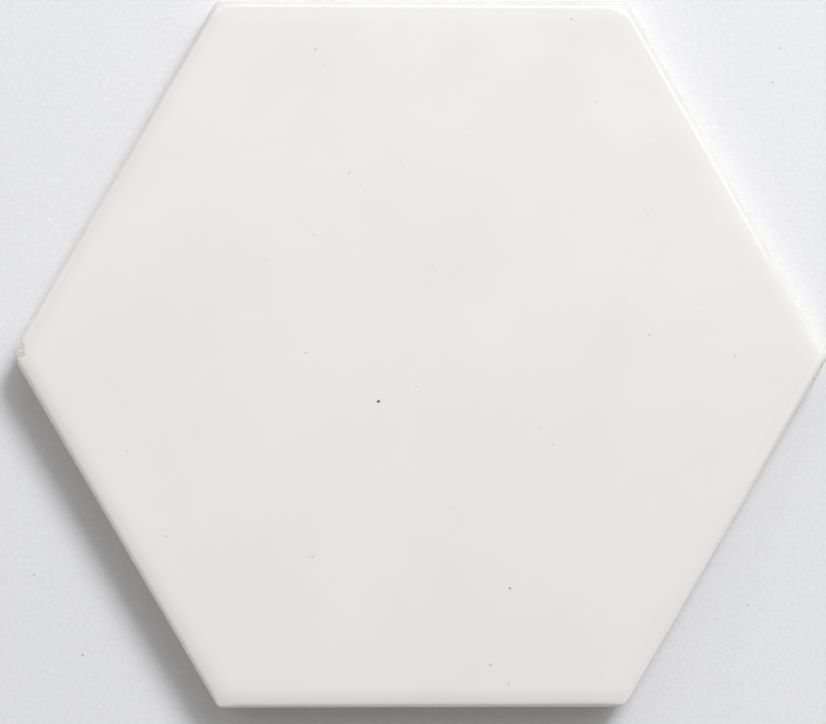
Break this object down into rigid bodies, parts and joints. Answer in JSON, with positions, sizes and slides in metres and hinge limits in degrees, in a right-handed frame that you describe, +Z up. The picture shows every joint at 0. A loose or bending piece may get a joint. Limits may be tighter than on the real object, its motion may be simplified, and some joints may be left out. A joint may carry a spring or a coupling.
{
  "type": "hexagon floor tile",
  "caption": "Flat six-sided glazed ceramic floor tile with a cushioned, rounded-over edge, upright sides and a keyed back for adhesive.",
  "frame": {"origin": "centre of the back, in the plane that the tile lies on", "axes": "+X through one corner, +Y square to one straight side, +Z up out of the glazed face"},
  "size_m": [0.1726, 0.15, 0.0095],
  "materials": {
    "glazed_ceramic": "gloss"
  },
  "bodies": {
    "root": {"hexagon_tile": "glazed_ceramic"}
  },
  "joints": []
}
